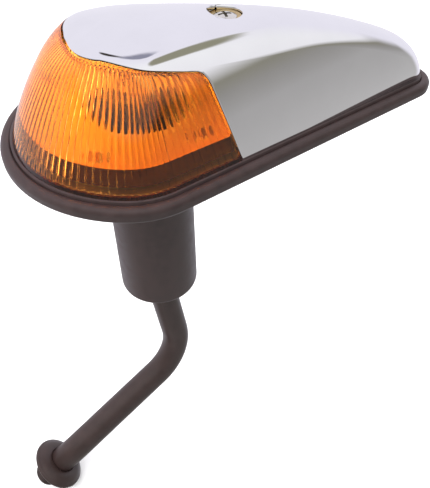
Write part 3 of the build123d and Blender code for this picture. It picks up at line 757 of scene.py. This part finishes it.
@dataclass
class Cover:
    """The chromed cover: the skin behind and above the lens, with a recess for its screw."""

    skin: Skin
    line: JointLine
    wall: float = 1.6
    screw_x: float = 31.0
    recess_r: float = 6.1
    recess_floor: float = 36.9
    boss_r: float = 7.6
    boss_foot: float = 29.5
    bore_r: float = 2.2
    flank_columns: int = 170
    front_columns: int = 141
    side_rows: int = 40
    crease_rows: int = 14
    crown_rows: int = 44

    def build(self) -> list[bpy.types.Object]:
        """Builds the shell and the screw's well.

        Returns:
            The two pieces.
        """
        chrome = CHROME.material()
        pieces = [self.shell(), self.well()]
        for piece in pieces:
            dress(piece, chrome)
            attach(piece, Body.COVER.value)
            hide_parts("chrome_cover")
        return pieces

    def heights(self, low: np.ndarray) -> np.ndarray:
        """Rows of s from the seam's corner up: the side's end, the crease and the crown."""
        side = low + (1 - low) * np.linspace(0, 1, 8)[:-1, None]
        over = np.linspace(1, 2, self.crease_rows)[:-1, None]
        crease = np.broadcast_to(over, (self.crease_rows - 1, len(low)))
        crown = np.broadcast_to(np.linspace(2, 3, self.crown_rows)[:, None], (self.crown_rows, len(low)))
        return np.concatenate([side, crease, crown])

    def shell(self) -> bpy.types.Object:
        """The thin shell, as two flank grids and one over the lens, with a hole for the screw's well."""
        seam = Seam(self.skin, self.line, self.line.gap)
        grids = []
        across = np.linspace(0, 1, self.flank_columns)
        for side in (-1, 1):
            low = seam.corner_s * np.linspace(0, 1, self.side_rows)
            edge = seam.rear_u(low)
            u = edge[:, None] + (1 - edge[:, None]) * across[None, :]
            s = np.broadcast_to(low[:, None], u.shape)
            above = self.heights(np.full(self.flank_columns, seam.corner_s))
            upper = np.broadcast_to(seam.corner_u + (1 - seam.corner_u) * across, above.shape)
            grids.append((side * np.concatenate([u, upper[1:]]), np.concatenate([s, above[1:]])))
        front = np.linspace(-seam.corner_u, seam.corner_u, self.front_columns)
        rows = self.heights(np.full(self.front_columns, seam.corner_s))
        low = seam.top_s(front)
        over = low + (rows - seam.corner_s) / (3 - seam.corner_s) * (3 - low)
        grids.append((np.broadcast_to(front, over.shape), over))
        points, faces, count = [], [], 0
        for u, s in grids:
            grid, hole = self.opened(self.skin.point(u, s), s)
            quads = grid_faces(*u.shape, first=count)
            keep = ~hole.ravel()[quads - count].all(axis=1)
            points.append(grid.reshape(-1, 3))
            faces.append(quads[keep])
            count += u.size
        piece = make_piece("chrome_shell", np.concatenate(points), np.concatenate(faces))
        wall = piece.modifiers.new("wall", "SOLIDIFY")
        wall.thickness = self.wall * MM
        wall.offset = -1
        wall.use_even_offset = False
        return piece

    def opened(self, grid: np.ndarray, s: np.ndarray) -> tuple[np.ndarray, np.ndarray]:
        """Pushes the crown's points out of a round hole: a ring of them lands on its edge.

        Args:
            grid: (rows, columns, 3) points of the skin.
            s: how far up and over each of them is.

        Returns:
            The moved points, and which of them lie in the hole.
        """
        first, last = self.recess_r - 1.0, self.recess_r + 8.0
        offset = grid[..., :2] - np.array([self.screw_x, 0.0])
        distance = np.linalg.norm(offset, axis=-1)
        on_crown = (s >= 2) & (distance < last)
        spread = (last - self.recess_r) / (last - first)
        pushed = self.recess_r + (np.maximum(distance, first) - first) * spread
        factor = np.where(on_crown, pushed / np.maximum(distance, 1e-6), 1.0)
        plan = np.array([self.screw_x, 0.0]) + offset * factor[..., None]
        lifted = np.where(on_crown, self.skin.crown(plan[..., 0], plan[..., 1]), grid[..., 2])
        return np.concatenate([plan, lifted[..., None]], axis=-1), on_crown & (distance < first)

    def well(self) -> bpy.types.Object:
        """The screw's well: a fine rolled edge on the crown, a wall, a floor with a bore, and the boss."""
        sides = 96
        angle = np.linspace(0, 2 * math.pi, sides, endpoint=False)
        edge_r = np.array([self.recess_r + 0.75, self.recess_r + 0.45, self.recess_r + 0.2, self.recess_r])
        edge_drop = np.array([-0.12, 0.05, 0.0, -0.3])
        x = self.screw_x + edge_r[:, None] * np.cos(angle)
        y = edge_r[:, None] * np.sin(angle)
        edge = np.stack([x, y, self.skin.crown(x, y) + edge_drop[:, None]], axis=-1)
        levels = np.array([
            (self.recess_r, self.recess_floor + 0.3),
            (self.recess_r - 0.3, self.recess_floor),
            (self.bore_r, self.recess_floor),
            (self.bore_r, self.boss_foot),
            (self.boss_r, self.boss_foot),
            (self.boss_r, self.recess_floor - 1.0),
        ])
        radius = levels[:, :1]
        height = np.broadcast_to(levels[:, 1:], (len(levels), sides))
        lower = np.stack([self.screw_x + radius * np.cos(angle), radius * np.sin(angle), height], axis=-1)
        grid = np.concatenate([edge, lower, edge[:1]])
        piece = make_piece("screw_well", grid.reshape(-1, 3), grid_faces(len(grid), sides, wrap=True))
        piece.data.set_sharp_from_angle(angle=math.radians(40))
        return piece


@dataclass
class Gasket:
    """The rubber gasket: a fat rounded bead, a dark groove, the ledge for the lamp and the sole inside."""

    outline: Outline
    growth: float = 4.68
    bead_top: float = 5.0
    ledge: float = 0.8
    ledge_z: float = 5.7
    top_round: float = 2.2
    foot_round: float = 1.4
    plate_edge: float = -2.9
    plate_z: float = 3.2
    sole: float = -7.2
    columns: int = 420

    def profile(self) -> np.ndarray:
        """The section as (growth of the outline, height), closed."""
        return np.vstack([
            [(self.ledge - 0.15, self.ledge_z), (self.ledge, self.ledge_z - 0.15)],
            [(self.ledge + 0.02, self.bead_top - 0.75), (self.ledge + 0.35, self.bead_top - 0.95)],
            arc((self.growth - self.top_round - 0.5, self.bead_top - 1.2), 1.2, 150, 100, 6),
            arc((self.growth - self.top_round, self.bead_top - self.top_round), self.top_round, 80, 0, 14),
            arc((self.growth - self.foot_round, self.foot_round), self.foot_round, 0, -90, 10),
            [(0.0, 0.0), (self.sole, 0.0), (self.sole, self.plate_z)],
            [(self.plate_edge, self.plate_z), (self.plate_edge, self.ledge_z)],
        ])

    def build(self) -> bpy.types.Object:
        """Builds the gasket: each point of the section follows the outline moved out by its growth.

        Returns:
            The gasket.
        """
        section = self.profile()
        section = np.vstack([section, section[:1]])
        u = np.linspace(-1, 1, self.columns)
        growth = np.broadcast_to(section[:, :1], (len(section), self.columns))
        gains = np.array([1, 2, 1, 0, 1, 1]).reshape(6, 1, 1)
        sizes = self.outline.sizes().reshape(6, 1, 1) + gains * growth
        x, y = outline_points(sizes, np.broadcast_to(u, growth.shape))
        z = np.broadcast_to(section[:, 1:], growth.shape)
        grid = np.stack([x, y, z], axis=-1)
        piece = make_piece("gasket_bead", grid.reshape(-1, 3), grid_faces(*grid.shape[:2]))
        piece.data.set_sharp_from_angle(angle=math.radians(60))
        dress(piece, RUBBER.material())
        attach(piece, Body.BASE.value)
        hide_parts("base_gasket")
        return piece


@dataclass
class NeckBoot:
    """The rubber boot that hangs under the lamp, and takes the hose through its floor."""

    top_r: float = 17.0
    foot_r: float = 17.6
    foot_z: float = -81.2
    flange_r: float = 19.5
    flange_foot: float = 0.8
    flange_top: float = 3.2
    bore_r: float = 13.0
    floor: float = 5.0
    hole_r: float = 6.7
    edge_round: float = 2.5

    def build(self) -> bpy.types.Object:
        """Builds the boot by turning its section about the neck's axis.

        Returns:
            The boot.
        """
        tip = self.foot_z + self.edge_round
        top = self.flange_foot - 1.0
        side = np.stack([np.linspace(self.foot_r, self.top_r, 24), np.linspace(tip, top, 24)], axis=1)
        profile = np.vstack([
            [(self.bore_r, self.flange_top), (self.bore_r, self.foot_z + self.floor)],
            [(self.hole_r, self.foot_z + self.floor), (self.hole_r, self.foot_z + 0.5)],
            [(self.hole_r + 0.5, self.foot_z)],
            arc((self.foot_r - self.edge_round, tip), self.edge_round, -90, 0, 12),
            side[1:],
            arc((self.top_r + 1.0, top), 1.0, 180, 90, 6)[1:],
            [(self.flange_r, self.flange_foot), (self.flange_r, self.flange_top)],
        ])
        piece = make_piece("rubber_boot", *turned(profile, 128))
        piece.data.set_sharp_from_angle(angle=math.radians(50))
        dress(piece, RUBBER.material())
        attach(piece, Body.BASE.value)
        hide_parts("neck_boot")
        return piece


@dataclass
class MouldedHose:
    """The moulded hose: straight runs joined by bends of its own shape, and its collar in the boot."""

    radius: float = 6.7
    bore: float = 4.5
    collar_r: float = 8.6
    top_z: float = -74.2
    collar: float = 2.0
    corners: tuple[Point, ...] = ((0.0, 0.0, -86.0), (6.2, -6.0, -137.0), (-60.6, -27.6, -169.5))
    bends: tuple[float, ...] = (40.0, 26.0, 28.0)
    end: Point = (-69.5, -28.0, -177.5)
    socket: float = 2.0
    sides: int = 72

    def axis(self) -> np.ndarray:
        """The direction in which the hose ends."""
        return unit(np.array(self.end) - np.array(self.corners[-1]))

    def centre_line(self) -> np.ndarray:
        """Points down the middle: each bend is an arc that touches both of its runs."""
        stops = [np.array([0.0, 0.0, self.top_z]), *map(np.array, self.corners)]
        stops.append(np.array(self.end) + self.axis() * self.socket)
        line = [stops[0][None, :]]
        for before, corner, after, radius in zip(stops, stops[1:], stops[2:], self.bends):
            back = unit(before - corner)
            ahead = unit(after - corner)
            half = math.acos(float(np.dot(back, ahead))) / 2
            centre = corner + unit(back + ahead) * radius / math.sin(half)
            first = corner + back * radius / math.tan(half)
            last = corner + ahead * radius / math.tan(half)
            turn = math.pi - 2 * half
            angle = np.linspace(0, turn, 30)[:, None]
            line.append(centre + (first - centre) * np.cos(angle) + back * -radius * np.sin(angle))
            line[-1][-1] = last
        line.append(stops[-1][None, :])
        return self.evened(np.vstack(line))

    @staticmethod
    def evened(line: np.ndarray, spacing: float = 1.0) -> np.ndarray:
        """The same line with points at even distances along it."""
        steps = np.linalg.norm(np.diff(line, axis=0), axis=1)
        distance = np.concatenate([[0.0], np.cumsum(steps)])
        even = np.linspace(0, distance[-1], round(distance[-1] / spacing))
        return np.stack([np.interp(even, distance, line[:, k]) for k in range(3)], axis=1)

    def build(self) -> bpy.types.Object:
        """Builds the hose: circles square to the centre line, outside and in the bore.

        Returns:
            The hose.
        """
        line = self.centre_line()
        tangent = unit(np.gradient(line, axis=0))
        across = unit(np.cross(tangent, np.array([0.25, 0.95, 0.1])))
        other = np.cross(tangent, across)
        angle = np.linspace(0, 2 * math.pi, self.sides, endpoint=False)
        cosine, sine = np.cos(angle)[None, :, None], np.sin(angle)[None, :, None]
        ring = across[:, None, :] * cosine + other[:, None, :] * sine
        outer = line[:, None, :] + ring * self.radius
        collar = outer[:3] + ring[:3] * (self.collar_r - self.radius)
        collar[0] = line[0] + ring[0] * self.collar_r
        collar[1] = line[0] + ring[0] * self.collar_r - np.array([0, 0, self.collar])
        collar[2] = line[0] + ring[0] * self.radius - np.array([0, 0, self.collar])
        inner = (line[:, None, :] + ring * self.bore)[::-1]
        below = line[:, 2] < self.top_z - self.collar
        grid = np.concatenate([inner[-1:], collar, outer[below], inner])
        piece = make_piece("moulded_hose", grid.reshape(-1, 3), grid_faces(len(grid), self.sides, wrap=True))
        piece.data.set_sharp_from_angle(angle=math.radians(50))
        dress(piece, HOSE_RUBBER.material())
        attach(piece, Body.BASE.value)
        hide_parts("wire_hose")
        return piece


@dataclass
class Grommet:
    """The domed grommet at the hose's end: a flange, a groove for the panel, a barb and a stub."""

    hose: MouldedHose
    flange_r: float = 14.0
    dome: float = 2.5
    foot: float = 3.0
    groove_r: float = 7.6
    groove: float = 2.0
    barb_r: float = 8.6
    stub_r: float = 6.0
    stub: float = 12.5

    def build(self) -> bpy.types.Object:
        """Builds the grommet by turning its section, then laying it along the hose's end.

        Returns:
            The grommet.
        """
        lip = self.foot + self.groove
        ribs = np.linspace(lip + 1.6, self.stub - 0.6, 15)
        teeth = self.stub_r + 0.9 * (1 - (ribs - lip - 1.6) / (self.stub - lip)) + 0.35 * np.cos(ribs * 4.4)
        dome_r = np.linspace(0, 1, 14)
        crest = self.hose.radius + 0.9 + (self.flange_r - 0.9 - self.hose.radius - 0.9) * dome_r
        profile = np.vstack([
            [(self.hose.bore, self.hose.socket), (self.hose.radius, self.hose.socket)],
            [(self.hose.radius, -self.dome + 0.5), (self.hose.radius + 0.5, -self.dome)],
            np.stack([crest, -self.dome + 2.6 * dome_r**2.4], axis=1),
            arc((self.flange_r - 1.3, 1.3), 1.3, -50, 80, 10),
            [(self.flange_r - 2.6, self.foot), (self.groove_r, self.foot), (self.groove_r, lip)],
            [(self.barb_r - 0.2, lip), (self.barb_r, lip + 0.3), (self.barb_r - 0.2, lip + 0.9)],
            np.stack([teeth, ribs], axis=1),
            [(self.stub_r, self.stub), (self.hose.bore, self.stub)],
        ])
        points, faces = turned(profile, 112)
        axis = self.hose.axis()
        across = unit(np.cross(axis, np.array([0.0, 1.0, 0.0])))
        other = np.cross(axis, across)
        placed = np.array(self.hose.end) + points @ np.stack([across, other, axis])
        piece = make_piece("hose_grommet", placed, faces)
        piece.data.set_sharp_from_angle(angle=math.radians(55))
        dress(piece, HOSE_RUBBER.material())
        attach(piece, Body.BASE.value)
        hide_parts("panel_grommet")
        return piece


@dataclass(frozen=True)
class Card:
    """A dim round card that the chrome mirrors, by its direction and half its spread in degrees."""

    azimuth: float
    elevation: float
    reach: float
    softness: float
    colour: Colour


CARDS = (
    Card(98, 63, 8.5, 2, (0.31, 0.30, 0.22)),
    Card(157, 62, 5, 1.5, (0.30, 0.30, 0.38)),
    Card(174, 60, 3.2, 1.2, (0.035, 0.028, 0.022)),
)
FAR_SIDE = (0.90, 0.88, 0.96)
TENT = (
    (0.00, (0.60, 0.59, 0.58)),
    (0.50, (0.46, 0.45, 0.44)),
    (0.62, (0.42, 0.41, 0.40)),
    (0.70, (0.32, 0.31, 0.29)),
    (0.74, (0.27, 0.26, 0.21)),
    (0.78, (0.93, 0.92, 0.94)),
    (1.00, (1.0, 1.0, 1.0)),
)


@dataclass
class Studio:
    """The pale floor, the soft lamps, the surroundings that the chrome mirrors, and the camera."""

    azimuth: float = -18.38
    elevation: float = 45.47
    distance: float = 259.6
    aim: Point = (27.64, 0.0, -68.24)
    lens: float = 40.70
    floor_drop: float = 0.002

    def direction(self, azimuth: float, elevation: float) -> Vector:
        """The unit vector towards an azimuth, from -Y towards +X, and an elevation, in degrees."""
        turn = math.radians(azimuth)
        rise = math.radians(elevation)
        return Vector((math.sin(turn) * math.cos(rise), -math.cos(turn) * math.cos(rise), math.sin(rise)))

    def camera(self) -> None:
        """Stands the camera off its aim, and makes it the scene's."""
        data = bpy.data.cameras.new("camera")
        data.lens = self.lens
        data.sensor_width = 36
        data.clip_start = 0.01
        view = bpy.data.objects.new("camera", data)
        back = self.direction(self.azimuth, self.elevation)
        view.location = (Vector(self.aim) + back * self.distance) * MM
        view.rotation_euler = (-back).to_track_quat("-Z", "Y").to_euler()
        bpy.context.scene.collection.objects.link(view)
        bpy.context.scene.camera = view

    def lamp(
        self,
        name: str,
        turn: tuple[float, float],
        away: float,
        size: tuple[float, float],
        power: float,
        mirrored: bool,
    ) -> None:
        """An area lamp at a distance in metres, turned to the object.

        Args:
            name: the lamp's name.
            turn: its azimuth and elevation in degrees.
            away: its distance in metres.
            size: its width and height in metres.
            power: its power in watts.
            mirrored: whether glossy surfaces show it.
        """
        data = bpy.data.lights.new(name, "AREA")
        data.shape = "RECTANGLE"
        data.size, data.size_y = size
        data.energy = power
        light = bpy.data.objects.new(name, data)
        light.visible_glossy = mirrored
        towards = self.direction(*turn)
        light.location = Vector(self.aim) * MM + towards * away
        light.rotation_euler = (-towards).to_track_quat("-Z", "Y").to_euler()
        bpy.context.scene.collection.objects.link(light)

    def floor(self) -> None:
        """A pale floor just under the object."""
        low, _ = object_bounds()
        mesh = bpy.data.meshes.new("floor")
        height = low[2] - self.floor_drop
        reach = 6.0
        corners = [(reach * x, reach * y, height) for x, y in ((-1, -1), (1, -1), (1, 1), (-1, 1))]
        mesh.from_pydata(corners, [], [(0, 1, 2, 3)])
        floor = bpy.data.objects.new("floor", mesh)
        bpy.context.scene.collection.objects.link(floor)
        paper = Finish("pale_paper", (0.93, 0.93, 0.93), 0.0, 0.9, 0.0, bump=0.0, specular=0.0)
        dress(floor, paper.material())
        floor.visible_glossy = False
        floor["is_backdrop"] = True

    def surroundings(self) -> None:
        """A bright tent, dusky low down on the near side, with a few dim cards for the chrome to mirror."""
        world = bpy.data.worlds.new("tent")
        world.use_nodes = True
        bpy.context.scene.world = world
        nodes = world.node_tree.nodes
        links = world.node_tree.links
        place = nodes.new("ShaderNodeTexCoord")
        split = nodes.new("ShaderNodeSeparateXYZ")
        links.new(place.outputs["Generated"], split.inputs["Vector"])
        rise = nodes.new("ShaderNodeMapRange")
        rise.inputs["From Min"].default_value = -1.0
        links.new(split.outputs["Z"], rise.inputs["Value"])
        ramp = nodes.new("ShaderNodeValToRGB")
        links.new(rise.outputs["Result"], ramp.inputs["Fac"])
        elements = ramp.color_ramp.elements
        for position, _ in TENT[1:-1]:
            elements.new(position)
        for (position, colour), element in zip(TENT, elements):
            element.position = position
            element.color = (*colour, 1)
        far = nodes.new("ShaderNodeMapRange")
        far.interpolation_type = "SMOOTHSTEP"
        far.inputs["From Min"].default_value = -0.15
        far.inputs["From Max"].default_value = 0.35
        links.new(split.outputs["Y"], far.inputs["Value"])
        colour = self.mixed(world, far.outputs["Result"], ramp.outputs["Color"], FAR_SIDE)
        for card in CARDS:
            dot = nodes.new("ShaderNodeVectorMath")
            dot.operation = "DOT_PRODUCT"
            dot.inputs[1].default_value = self.direction(card.azimuth, card.elevation)
            links.new(place.outputs["Generated"], dot.inputs[0])
            near = nodes.new("ShaderNodeMapRange")
            near.interpolation_type = "SMOOTHSTEP"
            near.inputs["From Min"].default_value = math.cos(math.radians(card.reach + card.softness))
            near.inputs["From Max"].default_value = math.cos(math.radians(card.reach - card.softness))
            links.new(dot.outputs["Value"], near.inputs["Value"])
            colour = self.mixed(world, near.outputs["Result"], colour, card.colour)
        links.new(colour, nodes["Background"].inputs["Color"])

    @staticmethod
    def mixed(
        world: bpy.types.World, share: bpy.types.NodeSocket, under: bpy.types.NodeSocket, over: Colour
    ) -> bpy.types.NodeSocket:
        """The colour under, covered by a plain colour where share is 1."""
        mix = world.node_tree.nodes.new("ShaderNodeMix")
        mix.data_type = "RGBA"
        mix.inputs["B"].default_value = (*over, 1)
        world.node_tree.links.new(share, mix.inputs["Factor"])
        world.node_tree.links.new(under, mix.inputs["A"])
        return mix.outputs["Result"]

    def build(self) -> None:
        """Builds the floor, the surroundings, the lamps and the camera."""
        self.camera()
        self.floor()
        self.surroundings()
        self.lamp("key", (-50, 65), 1.2, (1.0, 1.0), 16, False)
        self.lamp("back", (150, 55), 1.2, (0.9, 0.9), 9, False)
        self.lamp("strip", (-95, 12), 0.9, (0.25, 0.7), 5.0, False)
        bpy.context.scene.view_settings.view_transform = "Standard"


def dress_cad_nodes() -> None:
    """Gives each piece that keeps its designed shape its own finish."""
    for node, finish in INSIDE_FINISHES.items():
        dress(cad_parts[node], finish.material())
        log.info("dressed %s", node)


def main() -> None:
    """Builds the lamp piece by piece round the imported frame, then the studio."""
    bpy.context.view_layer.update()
    skin = Skin()
    line = JointLine()
    hose = MouldedHose()
    makers = (Lens(skin, line), Cover(skin, line), Gasket(skin.rim), NeckBoot(), hose, Grommet(hose))
    for maker in makers:
        made = maker.build()
        for piece in made if isinstance(made, list) else [made]:
            log.info("built %s: %d faces", piece.name, len(piece.data.polygons))
    dress_cad_nodes()
    Studio().build()


if __name__ == "__main__":
    main()
